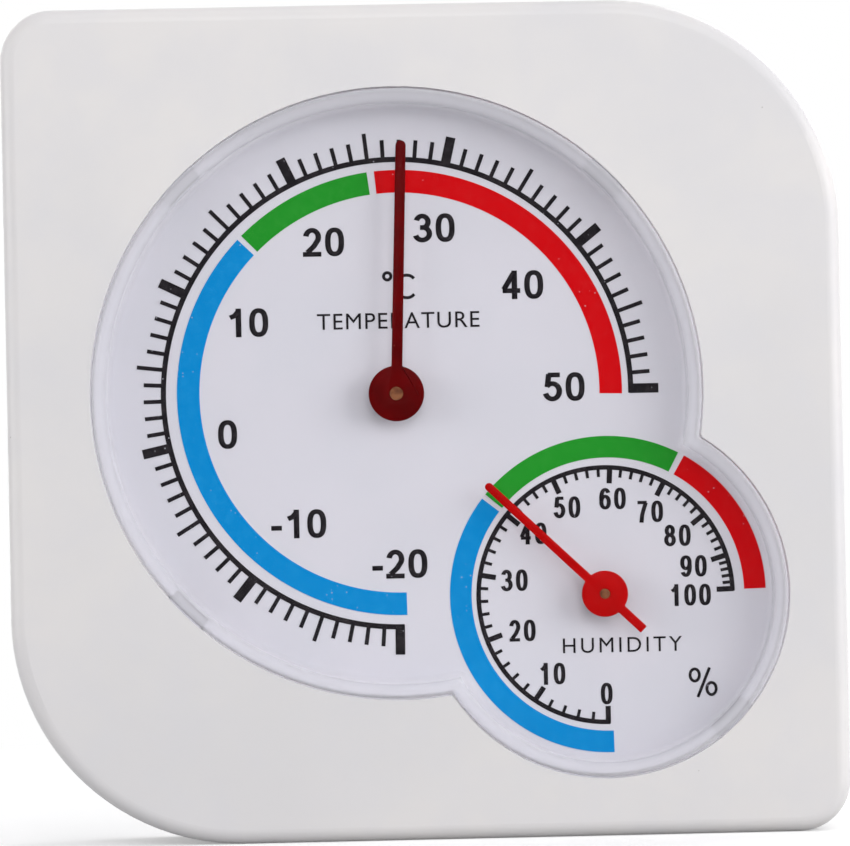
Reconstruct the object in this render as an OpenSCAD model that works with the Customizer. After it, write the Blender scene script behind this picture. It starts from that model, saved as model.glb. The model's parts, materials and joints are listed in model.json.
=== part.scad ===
// Square wall and table gauge with a bimetal thermometer and a coil hygrometer.
// Every piece is drawn with the gauge lying on its back: x to the right, y up the dial
// and z out of the dial, from the back face at z = 0. One placement stands it up.

/* [Case] */
// Width and height of the square case
body_w = 75; // [74:0.5:80]
// Radius of the top right and bottom left corners
big_corner_r = 20.5; // [17:0.5:21.5]
// Radius of the top left and bottom right corners
small_corner_r = 4.6; // [3:0.1:5.5]
// Rounding of the front edge
front_edge_r = 1.3; // [0.8:0.1:1.6]
// Thickness of the side walls
wall_t = 1.6; // [1.5:0.1:2]
// Thickness of the rim round the rear cover
rim_t = 0.8; // [0.6:0.1:1]
// Thickness of the front face
face_t = 1.8; // [1.5:0.1:2.4]
// Thickness of the floor under the dial plate
floor_t = 1.4; // [1.2:0.1:1.6]
// Thickness of the wall round the dial well
well_wall_t = 1.2; // [1:0.1:1.6]

/* [Dials] */
// Distance of the thermometer axis to the left of and above the middle
t_offset = 2.55; // [2.2:0.05:3]
// Distance of the hygrometer axis to the right of and below the middle
h_offset = 15.85; // [15.5:0.05:16.2]
// Radius of the opening round the thermometer
t_open_r = 27.5; // [26.5:0.1:28]
// Radius of the opening round the hygrometer
h_open_r = 16.5; // [16:0.1:17]
// Rounding where the two openings meet
notch_r = 0.6; // [0.3:0.1:0.9]
// Depth of the dial plate's face below the front face
dial_depth = 4.5; // [4.3:0.1:4.8]
// Thickness of the dial plate
dial_t = 0.3; // [0.25:0.05:0.5]
// Gap between the dial plate's edge and the well
dial_gap = 0.25; // [0.15:0.05:0.4]
// Height of the printed scales on the plate
print_t = 0.04; // [0.03:0.01:0.06]

/* [Thermometer scale] */
// Lowest temperature on the scale in degrees
t_low_deg = -20; // [-30:10:-10]
// Highest temperature on the scale in degrees
t_high_deg = 50; // [40:10:60]
// Temperature shown at rest
t_shown_deg = 27.1; // [10:0.1:35]
// Angle of the lowest mark, counterclockwise from the right
t_start_deg = 269.5; // [265:0.5:270]
// Angle between one degree and the next
t_step_deg = 3.85; // [3.3:0.05:3.85]
// Inner radius of the coloured band
t_band_r = 17.9; // [17.5:0.1:18.1]
// Width of the coloured band
t_band_w = 2; // [1.6:0.1:2.2]
// Inner radius of the scale line
t_line_r = 20.7; // [20.5:0.1:21]
// Width of the scale line
t_line_w = 0.45; // [0.3:0.05:0.6]
// Outer radius of the short marks
t_short_r = 22.7; // [22.3:0.1:22.9]
// Outer radius of the long marks
t_long_r = 23.4; // [23.1:0.1:24]
// Width of a thin mark
t_thin_w = 0.34; // [0.25:0.01:0.4]
// Width of a thick mark
t_thick_w = 0.86; // [0.7:0.02:1]

/* [Hygrometer scale] */
// Humidity shown at rest in percent
h_shown_percent = 41.2; // [30:0.1:60]
// Angle of the zero mark, counterclockwise from the right
h_start_deg = 270.3; // [268:0.1:271]
// Inner radius of the coloured band
h_band_r = 12.25; // [12:0.05:12.4]
// Width of the coloured band
h_band_w = 1.95; // [1.6:0.05:2.1]
// Outer radius of the scale line
h_line_r = 11.6; // [11.4:0.05:11.7]
// Width of the scale line
h_line_w = 0.4; // [0.3:0.05:0.5]
// Inner radius of the short marks
h_short_r = 10.55; // [10.4:0.05:10.8]
// Inner radius of the long marks
h_long_r = 10; // [9.6:0.05:10.2]
// Width of a thin mark
h_thin_w = 0.27; // [0.2:0.01:0.32]
// Width of a thick mark
h_thick_w = 0.47; // [0.4:0.01:0.55]

/* [Lens] */
// Thickness of the window
lens_t = 1.2; // [1:0.1:1.5]
// Thickness of the skirt round the window
skirt_t = 1.1; // [0.9:0.1:1.3]
// Height of the window above the front face
lens_proud = 0.3; // [0.1:0.1:0.5]
// Rounding of the window's front edge
lens_edge_r = 0.5; // [0.3:0.1:0.7]
// Gap between the skirt and the well
lens_gap = 0.15; // [0.1:0.05:0.25]
// Width of a snap clip
clip_w = 3.8; // [3:0.2:5]
// Thickness of a snap clip
clip_t = 0.8; // [0.7:0.05:0.9]
// Length of the hook under the floor
hook_l = 1; // [0.8:0.1:1.2]
// Reach of the hook beyond its slot
hook_reach = 0.3; // [0.2:0.05:0.35]
// Depth that a clip's slot cuts into the well's wall
slot_relief = 0.1; // [0.05:0.05:0.2]
// Distance of a clip's leg inside the skirt's outer face
clip_inset = 0.05; // [0.02:0.01:0.08]
// Gap between a clip and the sides of its slot
clip_gap = 0.2; // [0.15:0.05:0.3]
// Gap between a hook and the floor above it
hook_gap = 0.1; // [0.05:0.05:0.2]
// Gap between a clip's pad and the well
pad_gap = 0.03; // [0.02:0.01:0.05]
// Distance of a pad's top below the start of the window's rounded edge
pad_drop = 0.1; // [0.05:0.05:0.3]

/* [Thermometer pointer] */
// Length from the axis to the tip
t_needle_l = 22.5; // [21:0.1:23]
// Width at the hub
t_needle_w = 0.95; // [0.8:0.05:1.1]
// Width at the tip
t_tip_w = 0.8; // [0.6:0.05:0.9]
// Radius of the hub
t_hub_r = 2.45; // [2.2:0.05:2.8]
// Radius of the arbor
t_arbor_r = 0.6; // [0.5:0.05:0.7]
// Radius of the brass boss under the hub
t_boss_r = 1.7; // [1.5:0.1:2]

/* [Hygrometer pointer] */
// Length from the axis to the tip
h_needle_l = 14.4; // [14:0.1:14.8]
// Width of the needle
h_needle_w = 0.7; // [0.6:0.05:0.8]
// Length of the tail from the axis
h_tail_l = 4.7; // [4:0.1:5.5]
// Radius of the hub
h_hub_r = 1.9; // [1.8:0.05:2.2]
// Radius of the arbor
h_arbor_r = 0.45; // [0.4:0.05:0.6]
// Radius of the brass boss under the hub
h_boss_r = 1.7; // [1.4:0.1:1.75]

/* [Movements] */
// Thickness of a pointer
pointer_t = 0.35; // [0.3:0.05:0.5]
// Height of the pointers above the dial
pointer_lift = 1.9; // [1.6:0.1:2.1]
// Running clearance of an arbor in its bushes
running_gap = 0.03; // [0.02:0.01:0.05]
// Wall of a bush round its arbor
bush_wall = 0.7; // [0.6:0.05:0.8]
// Height of a front bush above the dial
bush_proud = 0.5; // [0.3:0.1:0.6]
// Gap between a front bush and the pointer's boss
end_float = 0.2; // [0.15:0.05:0.3]
// Width of a bush's flange beyond its barrel
flange_w = 0.8; // [0.6:0.1:1]
// Thickness of a bush's flange
flange_t = 0.5; // [0.4:0.1:0.6]
// Gap between the rear cover and a bridge
rear_room = 1.4; // [1.2:0.1:2]
// Thickness of a bridge
bridge_t = 0.8; // [0.6:0.1:0.9]
// Width of a bridge
bridge_w = 4; // [3.8:0.1:4.4]
// Angle of the thermometer's bridge across the dial
t_bridge_deg = 0; // [-10:5:10]
// Angle of the hygrometer's bridge across the dial
h_bridge_deg = 90; // [80:5:100]
// Distance of the thermometer's bridge screws from its axis
t_bridge_l = 9.5; // [9.2:0.1:10]
// Distance of the hygrometer's bridge screws from its axis
h_bridge_l = 8; // [7.4:0.1:8.2]
// Radius of a bridge screw's shank
bridge_screw_r = 0.7; // [0.6:0.05:0.8]
// Length of a bridge screw's shank
bridge_screw_l = 3.8; // [3:0.1:4.5]
// Wall of a boss round its screw
boss_wall = 1.2; // [1:0.1:1.3]

/* [Coils] */
// Radius of the thermometer coil
t_coil_r = 6.5; // [6:0.1:6.8]
// Turns of the thermometer coil
t_coil_turns = 5; // [4:1:6]
// Thickness of the bimetal strip
t_strip_t = 0.26; // [0.2:0.02:0.3]
// Radius of the hygrometer coil
h_coil_r = 4.8; // [4.5:0.1:5.2]
// Turns of the hygrometer coil
h_coil_turns = 4; // [3:1:5]
// Thickness of the hygroscopic strip
h_strip_t = 0.22; // [0.18:0.02:0.26]
// Width of both strips
strip_w = 2.1; // [1.8:0.1:2.4]
// Distance of the strips below the floor of the well
strip_drop = 1.3; // [1.2:0.1:1.6]
// Distance of the strips above the bridges
strip_rise = 1.6; // [1.4:0.1:2]
// Length of a collet beyond each side of its strip
collet_over = 0.4; // [0.3:0.05:0.5]
// Wall of a collet round its arbor
collet_wall = 0.9; // [0.7:0.1:1]
// Gap between a collet and its coil
collet_gap = 0.12; // [0.1:0.02:0.2]
// Radius of a coil post
post_r = 0.7; // [0.6:0.05:0.8]
// Gap on each side of a strip in its post's slot
slot_gap = 0.14; // [0.12:0.01:0.16]

/* [Rear cover] */
// Thickness of the rear cover
cover_t = 1.6; // [1.4:0.1:1.8]
// Gap round the rear cover
cover_gap = 0.15; // [0.1:0.05:0.3]
// Distance of the big corners' screws from the middle, each way
big_screw_xy = 26; // [25.5:0.1:26.5]
// Distance of the small corners' screws from the middle, each way
small_screw_xy = 31; // [30.7:0.1:31.5]
// Radius of a cover screw's shank
cover_screw_r = 1; // [0.8:0.1:1.2]
// Length of a cover screw below its head
cover_screw_l = 7; // [5:0.5:9]
// Radius of a cover screw's head
cover_head_r = 1.8; // [1.6:0.1:2]
// Thickness of a cover screw's head
cover_head_t = 0.8; // [0.6:0.1:0.9]
// Wall of the case's screw columns
column_wall = 1.6; // [1.3:0.1:1.8]
// Radius of the keyhole's entry
keyhole_r = 3.75; // [3.5:0.05:4.2]
// Half the width of the keyhole's slot
keyhole_slot_r = 1.6; // [1.4:0.1:2]
// Rise of the slot's end above the entry's middle
keyhole_rise = 5; // [4.5:0.1:6]
// Height of the keyhole's entry above the middle
keyhole_y = 26.5; // [25:0.5:28]
// Width of an air slot
vent_w = 1.2; // [1:0.1:1.4]
// Length of an air slot
vent_l = 11; // [8:0.5:12]
// Distance between neighbouring air slots
vent_pitch = 2.3; // [2:0.1:2.6]
// Number of air slots behind each coil
vent_count = 5; // [3:2:5]

/* [Stand] */
// Width of the leg
leg_w = 12; // [10:0.5:12.5]
// Thickness of the leg
leg_t = 1.6; // [1.4:0.1:1.8]
// Length of the leg below its hinge
leg_l = 23; // [20:0.5:23.2]
// Opening angle of the leg
leg_open_deg = 35; // [30:1:38]
// Height of the folded leg's foot above the bottom edge
foot_rise = 3.5; // [3:0.1:4]
// Hinge's depth inside the back face
hinge_z = 2.3; // [2.25:0.05:2.4]
// Radius of the hinge pin
pin_r = 0.5; // [0.4:0.05:0.55]
// Running clearance of the leg on its pin
pin_gap = 0.05; // [0.03:0.01:0.08]
// Radius of the leg's barrel
barrel_r = 1; // [0.95:0.05:1.05]
// Depth of the leg's pocket
pocket_d = 3.5; // [3.45:0.05:3.8]
// Gap between the leg and the sides of its pocket
leg_gap = 0.3; // [0.2:0.05:0.5]
// Wall of the pocket
pocket_wall = 1; // [0.8:0.1:1.1]
// Radius of the two finger bays
bay_r = 3.6; // [3:0.1:3.8]

/* [Hidden] */
$fn = 96;

// Extra length of a cut, so that it passes the faces it opens
past = 1;
// Heights above the back face: the pieces stack up from the rear cover to the window
bridge_z = cover_t + rear_room;
bridge_top_z = bridge_z + bridge_t;
strip_z = bridge_top_z + strip_rise;
floor_back_z = strip_z + strip_w + strip_drop;
floor_z = floor_back_z + floor_t;
dial_z = floor_z + dial_t;
bush_top_z = dial_z + bush_proud;
pointer_z = dial_z + pointer_lift;
face_z = dial_z + dial_depth;
lens_z = face_z + lens_proud;

// Places across the dial
t_axis = [-t_offset, t_offset];
h_axis = [h_offset, -h_offset];
axis_gap = (t_offset + h_offset) * sqrt(2);
half_w = body_w / 2;
clip_places = [[t_axis, t_open_r, 45], [t_axis, t_open_r, 135], [t_axis, t_open_r, 225],
               [h_axis, h_open_r, -45]];
column_places = [[big_screw_xy, big_screw_xy], [-big_screw_xy, -big_screw_xy],
                 [-small_screw_xy, small_screw_xy], [small_screw_xy, -small_screw_xy]];

// Radii that follow from the shafts and screws
t_bush_r = t_arbor_r + running_gap + bush_wall;
h_bush_r = h_arbor_r + running_gap + bush_wall;
t_collet_r = t_arbor_r + collet_wall;
h_collet_r = h_arbor_r + collet_wall;
bridge_boss_r = bridge_screw_r + boss_wall;
column_r = cover_screw_r + column_wall;

// The hygrometer's scale narrows from each ten percent to the next
h_decades = [35, 35, 30, 30, 26.5, 26.5, 25.5, 23.5, 21, 15.5];

// The stand's heel meets the pocket's floor when the leg is open
heel_stop = 0.06;
leg_back_z = 0.15;
leg_front_z = leg_back_z + leg_t;
hinge_y = foot_rise + leg_l - half_w;
heel_l = (pocket_d - heel_stop - hinge_z + (hinge_z - leg_front_z) * cos(leg_open_deg)) / sin(leg_open_deg);
heel_sweep = norm([heel_l, hinge_z - leg_back_z]);
pocket_top_y = hinge_y + heel_sweep + leg_gap;
pocket_low_y = hinge_y - leg_l - leg_gap;
pocket_w = leg_w + 2 * leg_gap;
bay_y = pocket_low_y + bay_r + leg_gap;

function sum_to(list, count) = count <= 0 ? 0 : list[count - 1] + sum_to(list, count - 1);
function t_angle(t) = t_start_deg - (t - t_low_deg) * t_step_deg;
function h_decade(h) = min(floor(h / 10), len(h_decades) - 1);
function h_angle(h) = h_start_deg - sum_to(h_decades, h_decade(h))
    - (h / 10 - h_decade(h)) * h_decades[h_decade(h)];

// Stands the gauge on its bottom edge, facing -y, over the middle of its footprint
module stood_up() {
    translate([0, lens_z / 2, half_w]) rotate([90, 0, 0]) children();
}

module at(place, z = 0) {
    translate([place[0], place[1], z]) children();
}

// Case outline: two big and two small corners, moved inwards by inset
module case_outline(inset) {
    h = half_w;
    b = big_corner_r;
    s = small_corner_r;
    w = h - inset;
    polygon([[w, s - h], [w, h - b], [h - b, w], [s - h, w],
             [-w, h - s], [-w, b - h], [b - h, -w], [h - s, -w]]);
    for (side = [-1, 1]) {
        translate([side * (h - b), side * (h - b)]) circle(b - inset);
        translate([side * (s - h), side * (h - s)]) circle(s - inset);
    }
}

// Section of the case's edge: wide from the outline inwards, rounded at the front
module edge_section(wide) {
    r = front_edge_r;
    polygon([[wide, 0], [wide, face_z - r], [wide - r, face_z], [0, face_z], [0, 0]]);
    translate([wide - r, face_z - r]) circle(r);
}

module corner_solid(x, y, r, turn) {
    translate([x, y, 0]) rotate(turn) rotate_extrude(angle = 90) edge_section(r);
}

// One straight side: its inner end is at the middle of the case
module side_solid(turn, from, to) {
    rotate(turn) translate([0, to, 0]) rotate([90, 0, 0]) linear_extrude(to - from) edge_section(half_w);
}

// The case's outside as a solid block
module case_block() {
    b = half_w - big_corner_r;
    s = half_w - small_corner_r;
    corner_solid(b, b, big_corner_r, 0);
    corner_solid(-s, s, small_corner_r, 90);
    corner_solid(-b, -b, big_corner_r, 180);
    corner_solid(s, -s, small_corner_r, 270);
    side_solid(0, -s, b);
    side_solid(90, -b, s);
    side_solid(180, -s, b);
    side_solid(270, -b, s);
}

// The webs that round the two notches where the window's circles meet.
// A web's arc is drawn a touch large, so that it crosses the circles and doesn't only meet them.
module window_webs(grow) {
    t_r = t_open_r + grow;
    h_r = h_open_r + grow;
    f = notch_r - grow;
    reach = (pow(axis_gap, 2) + pow(t_r + f, 2) - pow(h_r + f, 2)) / (2 * axis_gap);
    rise = sqrt(pow(t_r + f, 2) - pow(reach, 2));
    lap = 0.01;
    if (f > 0) {
        translate(t_axis) rotate(-45) for (side = [-1, 1]) {
            notch = [reach, side * rise];
            in_t = notch * (t_r - f) / (t_r + f);
            in_h = [axis_gap, 0] + (notch - [axis_gap, 0]) * (h_r - f) / (h_r + f);
            difference() {
                polygon([[reach, side * f], in_t, notch, in_h]);
                translate(notch) circle(f + lap);
            }
        }
    }
}

// Outline of the window: two circles joined with a rounded notch on each side
module window_outline(grow) {
    translate(t_axis) circle(t_open_r + grow);
    translate(h_axis) circle(h_open_r + grow);
    window_webs(grow);
}

// A disc with a rounded front edge
module rounded_disc(r, h, edge) {
    rotate_extrude() {
        polygon([[0, 0], [r, 0], [r, h - edge], [r - edge, h], [0, h]]);
        translate([r - edge, h - edge]) circle(edge);
    }
}

// A slot with round ends, cut through from z = 0
module round_slot(length, width, depth) {
    straight = length - width;
    translate([-straight / 2, -width / 2, 0]) cube([straight, width, depth]);
    for (side = [-1, 1]) translate([side * straight / 2, 0, 0]) cylinder(r = width / 2, h = depth);
}

// Places its children at a bridge's two screws
module at_screws(axis, turn, reach) {
    for (side = [-1, 1]) at(axis) rotate(turn) translate([side * reach, 0, 0]) children();
}

// White shell with the window, the dial well, its floor and all screw bosses
module front_case() {
    color("whitesmoke") difference() {
        union() {
            difference() {
                case_block();
                translate([0, 0, -past]) linear_extrude(face_z - face_t + past) case_outline(wall_t);
            }
            translate([0, 0, floor_back_z]) {
                linear_extrude(face_z - face_t / 2 - floor_back_z) window_outline(well_wall_t);
            }
            for (place = column_places) {
                at(place, cover_t) cylinder(r = column_r, h = face_z - face_t / 2 - cover_t);
            }
            at_screws(t_axis, t_bridge_deg, t_bridge_l) bridge_boss();
            at_screws(h_axis, h_bridge_deg, h_bridge_l) bridge_boss();
        }
        translate([0, 0, floor_z]) linear_extrude(face_z + past - floor_z) window_outline(0);
        translate([0, 0, -past]) linear_extrude(cover_t + past) case_outline(rim_t);
        for (clip = clip_places) clip_cut(clip);
        at(t_axis, floor_back_z - past) cylinder(r = t_bush_r, h = floor_t + 2 * past);
        at(h_axis, floor_back_z - past) cylinder(r = h_bush_r, h = floor_t + 2 * past);
        for (place = column_places) {
            at(place, cover_t - past) cylinder(r = cover_screw_r, h = cover_screw_l + past);
        }
        at_screws(t_axis, t_bridge_deg, t_bridge_l) bridge_pilot();
        at_screws(h_axis, h_bridge_deg, h_bridge_l) bridge_pilot();
    }
}

module bridge_boss() {
    translate([0, 0, bridge_top_z]) {
        cylinder(r = bridge_boss_r, h = floor_back_z + floor_t / 2 - bridge_top_z);
    }
}

module bridge_pilot() {
    translate([0, 0, bridge_z]) cylinder(r = bridge_screw_r, h = bridge_screw_l);
}

// An upright block that follows a dial's edge over a clip's width
module clip_block(clip, width, from_r, to_r, from_z, to_z) {
    half_a = asin(width / 2 / clip[1]);
    at(clip[0], from_z) rotate(clip[2] - half_a) {
        rotate_extrude(angle = 2 * half_a) translate([from_r, 0]) square([to_r - from_r, to_z - from_z]);
    }
}

// Slot for a clip and its hook through the floor and the dial plate, cut a little into the well's wall
module clip_cut(clip) {
    well_r = clip[1];
    clip_block(clip, clip_w + 2 * clip_gap, well_r - lens_gap - clip_t - hook_reach, well_r + slot_relief,
               floor_back_z - past, dial_z);
}

// Leg with a hook under the floor, and a pad that centres the skirt in the well
module lens_clip(clip) {
    well_r = clip[1];
    skirt_r = well_r - lens_gap;
    leg_r = skirt_r - clip_inset;
    hook_top = floor_back_z - hook_gap;
    clip_block(clip, clip_w, leg_r - clip_t, leg_r, hook_top - hook_l, dial_z + skirt_t / 2);
    clip_block(clip, clip_w, leg_r - clip_t, well_r + slot_relief + hook_reach, hook_top - hook_l, hook_top);
    clip_block(clip, clip_w, skirt_r - skirt_t / 2, well_r - pad_gap,
               dial_z + skirt_t, lens_z - lens_edge_r - pad_drop);
}

// Clear window with its skirt and four snap clips
module lens() {
    height = lens_z - dial_z;
    color([0.85, 0.9, 0.95, 0.35]) {
        difference() {
            union() {
                at(t_axis, dial_z) rounded_disc(t_open_r - lens_gap, height, lens_edge_r);
                at(h_axis, dial_z) rounded_disc(h_open_r - lens_gap, height, lens_edge_r);
                translate([0, 0, dial_z]) linear_extrude(height - lens_edge_r) window_webs(-lens_gap);
            }
            translate([0, 0, dial_z - past]) {
                linear_extrude(height - lens_t + past) window_outline(-lens_gap - skirt_t);
            }
        }
        for (clip = clip_places) lens_clip(clip);
    }
}

// A printed arc from one angle clockwise to another
module printed_arc(r, w, from_a, to_a) {
    rotate(to_a) rotate_extrude(angle = from_a - to_a) translate([r, 0]) square([w, print_t + dial_t / 2]);
}

module printed_mark(angle, r, length, width) {
    rotate(angle) translate([r, -width / 2, 0]) cube([length, width, print_t + dial_t / 2]);
}

// Black line and degree marks of the thermometer
module thermometer_marks() {
    edge_a = asin(t_thick_w / 2 / t_line_r);
    printed_arc(t_line_r, t_line_w, t_angle(t_low_deg) + edge_a, t_angle(t_high_deg) - edge_a);
    for (t = [t_low_deg : t_high_deg]) {
        long = t % 5 == 0;
        width = t % 10 == 0 ? t_thick_w : t_thin_w;
        printed_mark(t_angle(t), t_line_r + t_line_w / 2,
                     (long ? t_long_r : t_short_r) - t_line_r - t_line_w / 2, width);
    }
}

// Black line and percent marks of the hygrometer
module hygrometer_marks() {
    edge_a = asin(h_thick_w / 2 / h_line_r);
    line_r = h_line_r - h_line_w;
    printed_arc(line_r, h_line_w, h_angle(0) + edge_a, h_angle(100) - edge_a);
    for (h = [0 : 2 : 100]) {
        inner = h % 10 == 0 ? h_long_r : h_short_r;
        printed_mark(h_angle(h), inner, line_r + h_line_w / 2 - inner, h % 10 == 0 ? h_thick_w : h_thin_w);
    }
}

// Thin printed plate on the floor of the well, cut out for the bushes and clips
module dial_plate() {
    band_gap_deg = 0.8;
    color("gainsboro") difference() {
        translate([0, 0, floor_z]) linear_extrude(dial_t) window_outline(-dial_gap);
        for (clip = clip_places) clip_cut(clip);
        at(t_axis, floor_z - past) cylinder(r = t_bush_r, h = dial_t + 2 * past);
        at(h_axis, floor_z - past) cylinder(r = h_bush_r, h = dial_t + 2 * past);
    }
    at(t_axis, dial_z - dial_t / 2) {
        color("black") thermometer_marks();
        color("dodgerblue") {
            printed_arc(t_band_r, t_band_w, t_angle(t_low_deg) + band_gap_deg, t_angle(15) + band_gap_deg);
        }
        color("forestgreen") {
            printed_arc(t_band_r, t_band_w, t_angle(15) - band_gap_deg, t_angle(25) + band_gap_deg);
        }
        color("crimson") {
            printed_arc(t_band_r, t_band_w, t_angle(25) - band_gap_deg, t_angle(t_high_deg) - band_gap_deg);
        }
    }
    at(h_axis, dial_z - dial_t / 2) {
        color("black") hygrometer_marks();
        color("dodgerblue") {
            printed_arc(h_band_r, h_band_w, h_angle(0) + band_gap_deg, h_angle(40) + band_gap_deg);
        }
        color("forestgreen") {
            printed_arc(h_band_r, h_band_w, h_angle(40) - band_gap_deg, h_angle(70) + band_gap_deg);
        }
        color("crimson") {
            printed_arc(h_band_r, h_band_w, h_angle(70) - band_gap_deg, h_angle(100) - band_gap_deg);
        }
    }
}

// Flat pointer with a round hub, pressed on its arbor
module pointer(axis, angle, length, hub_r, root_w, tip_w, tail_l, bore_r) {
    at(axis, pointer_z) rotate(angle) difference() {
        linear_extrude(pointer_t) {
            circle(hub_r);
            polygon([[0, -root_w / 2], [length - tip_w / 2, -tip_w / 2],
                     [length - tip_w / 2, tip_w / 2], [0, root_w / 2]]);
            translate([length - tip_w / 2, 0]) circle(tip_w / 2);
            if (tail_l > 0) translate([-tail_l, -root_w / 2]) square([tail_l, root_w]);
        }
        translate([0, 0, -past]) cylinder(r = bore_r, h = pointer_t + 2 * past);
    }
}

// Ring round an arbor, from one height to another
module ring(axis, from_z, to_z, outer_r, bore_r) {
    at(axis, from_z) difference() {
        cylinder(r = outer_r, h = to_z - from_z);
        translate([0, 0, -past]) cylinder(r = bore_r, h = to_z - from_z + 2 * past);
    }
}

// Bush with a barrel and a flange
module bush(axis, barrel, flange, barrel_r, bore_r) {
    low = min(barrel[0], flange[0]);
    high = max(barrel[1], flange[1]);
    difference() {
        union() {
            at(axis, barrel[0]) cylinder(r = barrel_r, h = barrel[1] - barrel[0]);
            at(axis, flange[0]) cylinder(r = barrel_r + flange_w, h = flange[1] - flange[0]);
        }
        at(axis, low - past) cylinder(r = bore_r, h = high - low + 2 * past);
    }
}

module arbor(axis, r) {
    rear = bridge_z - bridge_t / 2;
    proud = 0.05;
    at(axis, rear) cylinder(r = r, h = pointer_z + pointer_t + proud - rear);
}

module collet(axis, outer_r, bore_r) {
    ring(axis, strip_z - collet_over, strip_z + strip_w + collet_over, outer_r, bore_r);
}

// Spiral strip from its collet out to its post, as one outline
module coil(axis, bridge_turn, collet_r, coil_r, turns, strip_t) {
    inner_r = collet_r + collet_gap + strip_t / 2;
    end_a = bridge_turn + asin((post_r + slot_gap) / coil_r);
    sweep = 360 * turns;
    steps = 30 * turns;
    edge = function(i, side)
        let (a = end_a - sweep * (1 - i / steps), r = inner_r + (coil_r - inner_r) * i / steps)
        (r + side * strip_t / 2) * [cos(a), sin(a)];
    at(axis, strip_z) linear_extrude(strip_w) {
        polygon(concat([for (i = [0 : steps]) edge(i, 1)], [for (i = [steps : -1 : 0]) edge(i, -1)]));
    }
}

// Post on the bridge with a slot that grips the coil's outer end
module coil_post(axis, bridge_turn, coil_r, strip_t) {
    slot = strip_t + 2 * slot_gap;
    top = strip_z + strip_w + slot_gap;
    at(axis, bridge_z) rotate(bridge_turn) translate([coil_r, 0, 0]) difference() {
        cylinder(r = post_r, h = top - bridge_z);
        translate([-slot / 2, -post_r - past, strip_z - slot_gap - bridge_z]) {
            cube([slot, 2 * (post_r + past), strip_w + 3 * past]);
        }
    }
}

// Stamped bar that carries the rear bush and the coil's post
module bridge(axis, turn, reach, coil_r, bush_r) {
    at(axis, bridge_z) rotate(turn) difference() {
        round_slot(2 * reach + bridge_w, bridge_w, bridge_t);
        translate([0, 0, -past]) {
            cylinder(r = bush_r, h = bridge_t + 2 * past);
            translate([coil_r, 0, 0]) cylinder(r = post_r, h = bridge_t + 2 * past);
            for (side = [-1, 1]) {
                translate([side * reach, 0, 0]) cylinder(r = bridge_screw_r, h = bridge_t + 2 * past);
            }
        }
    }
}

// Slotted screw, head down, with its head's underside at z = 0
module slotted_screw(shank_r, shank_l, head_r, head_t) {
    slot_w = head_r / 4;
    difference() {
        union() {
            cylinder(r = shank_r, h = shank_l);
            translate([0, 0, -head_t]) cylinder(r = head_r, h = head_t);
        }
        translate([-head_r - past, -slot_w / 2, -head_t - past]) {
            cube([2 * (head_r + past), slot_w, head_t / 2 + past]);
        }
    }
}

module bridge_screws(axis, turn, reach) {
    at_screws(axis, turn, reach) translate([0, 0, bridge_z]) {
        slotted_screw(bridge_screw_r, bridge_screw_l, 2 * bridge_screw_r, bridge_screw_r);
    }
}

module thermometer_pointer() {
    color("darkred") {
        pointer(t_axis, t_angle(t_shown_deg), t_needle_l, t_hub_r,
                t_needle_w, t_tip_w, 0, t_arbor_r);
    }
}

module hygrometer_pointer() {
    color("red") {
        pointer(h_axis, h_angle(h_shown_percent), h_needle_l, h_hub_r,
                h_needle_w, h_needle_w, h_tail_l, h_arbor_r);
    }
}

module thermometer_pointer_boss() {
    color("goldenrod") ring(t_axis, bush_top_z + end_float, pointer_z, t_boss_r, t_arbor_r);
}

module hygrometer_pointer_boss() {
    color("goldenrod") ring(h_axis, bush_top_z + end_float, pointer_z, h_boss_r, h_arbor_r);
}

module thermometer_arbor() {
    color("goldenrod") arbor(t_axis, t_arbor_r);
}

module hygrometer_arbor() {
    color("goldenrod") arbor(h_axis, h_arbor_r);
}

module thermometer_collet() {
    color("gold") collet(t_axis, t_collet_r, t_arbor_r);
}

module hygrometer_collet() {
    color("gold") collet(h_axis, h_collet_r, h_arbor_r);
}

module thermometer_coil() {
    color("slategray") coil(t_axis, t_bridge_deg, t_collet_r, t_coil_r, t_coil_turns, t_strip_t);
}

module hygrometer_coil() {
    color("peru") coil(h_axis, h_bridge_deg, h_collet_r, h_coil_r, h_coil_turns, h_strip_t);
}

module thermometer_coil_post() {
    color("gray") coil_post(t_axis, t_bridge_deg, t_coil_r, t_strip_t);
}

module hygrometer_coil_post() {
    color("gray") coil_post(h_axis, h_bridge_deg, h_coil_r, h_strip_t);
}

module thermometer_front_bush() {
    color("gold") {
        bush(t_axis, [floor_back_z, bush_top_z], [floor_back_z - flange_t, floor_back_z],
             t_bush_r, t_arbor_r + running_gap);
    }
}

module hygrometer_front_bush() {
    color("gold") {
        bush(h_axis, [floor_back_z, bush_top_z], [floor_back_z - flange_t, floor_back_z],
             h_bush_r, h_arbor_r + running_gap);
    }
}

module thermometer_rear_bush() {
    color("gold") {
        bush(t_axis, [bridge_z, bridge_top_z], [bridge_top_z, bridge_top_z + flange_t],
             t_bush_r, t_arbor_r + running_gap);
    }
}

module hygrometer_rear_bush() {
    color("gold") {
        bush(h_axis, [bridge_z, bridge_top_z], [bridge_top_z, bridge_top_z + flange_t],
             h_bush_r, h_arbor_r + running_gap);
    }
}

module thermometer_bridge() {
    color("silver") bridge(t_axis, t_bridge_deg, t_bridge_l, t_coil_r, t_bush_r);
}

module hygrometer_bridge() {
    color("silver") bridge(h_axis, h_bridge_deg, h_bridge_l, h_coil_r, h_bush_r);
}

module thermometer_bridge_screws() {
    color("dimgray") bridge_screws(t_axis, t_bridge_deg, t_bridge_l);
}

module hygrometer_bridge_screws() {
    color("dimgray") bridge_screws(h_axis, h_bridge_deg, h_bridge_l);
}

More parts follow.
